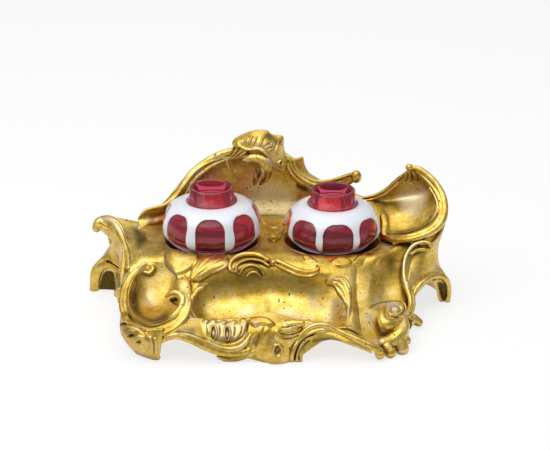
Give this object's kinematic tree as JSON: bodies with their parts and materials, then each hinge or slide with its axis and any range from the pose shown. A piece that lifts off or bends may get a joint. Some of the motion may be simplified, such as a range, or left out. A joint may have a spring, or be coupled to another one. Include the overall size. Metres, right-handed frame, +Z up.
{
  "type": "inkwell",
  "caption": "Gilt bronze inkstand of scrolls and shells with a pen trough, side dish and bowl, holding loose ruby glass wells cased in cut white overlay.",
  "frame": {"origin": "middle of the footprint on the table", "axes": "+X along the stand to the bowl's side, +Y to the tall back, +Z up"},
  "size_m": [0.2691, 0.1665, 0.115],
  "materials": {
    "gilt_bronze": "worn gilt cast bronze, brown in the hollows",
    "ruby_glass": "polished ruby glass",
    "opal_overlay": "glossy white opal overlay with cut edges",
    "iron_nuts": "dull filed iron"
  },
  "bodies": {
    "stand": {"deck": "gilt_bronze", "left_cup": "gilt_bronze", "right_cup": "gilt_bronze", "back_shell": "gilt_bronze", "back_rail": "gilt_bronze", "crest": "gilt_bronze", "right_bowl": "gilt_bronze", "right_skirt": "gilt_bronze", "right_cove": "gilt_bronze", "right_scroll": "gilt_bronze", "right_front_foot": "gilt_bronze", "left_wing": "gilt_bronze", "left_skirt": "gilt_bronze", "left_dish": "gilt_bronze", "left_front_foot": "gilt_bronze", "pen_trough": "gilt_bronze", "trough_scroll": "gilt_bronze", "front_apron": "gilt_bronze", "front_cartouche": "gilt_bronze", "back_skirt": "gilt_bronze", "deck_nuts": "iron_nuts", "crest_nuts": "iron_nuts"},
    "left_well": {"left_well_ruby": "ruby_glass", "left_well_overlay": "opal_overlay"},
    "right_well": {"right_well_ruby": "ruby_glass", "right_well_overlay": "opal_overlay"}
  },
  "joints": [
    {"name": "left_well_lift", "type": "slide", "parent": "stand", "child": "left_well", "axis": [0, 0, 1], "range_m": [0, 0.07]},
    {"name": "right_well_lift", "type": "slide", "parent": "stand", "child": "right_well", "axis": [0, 0, 1], "range_m": [0, 0.07]}
  ]
}
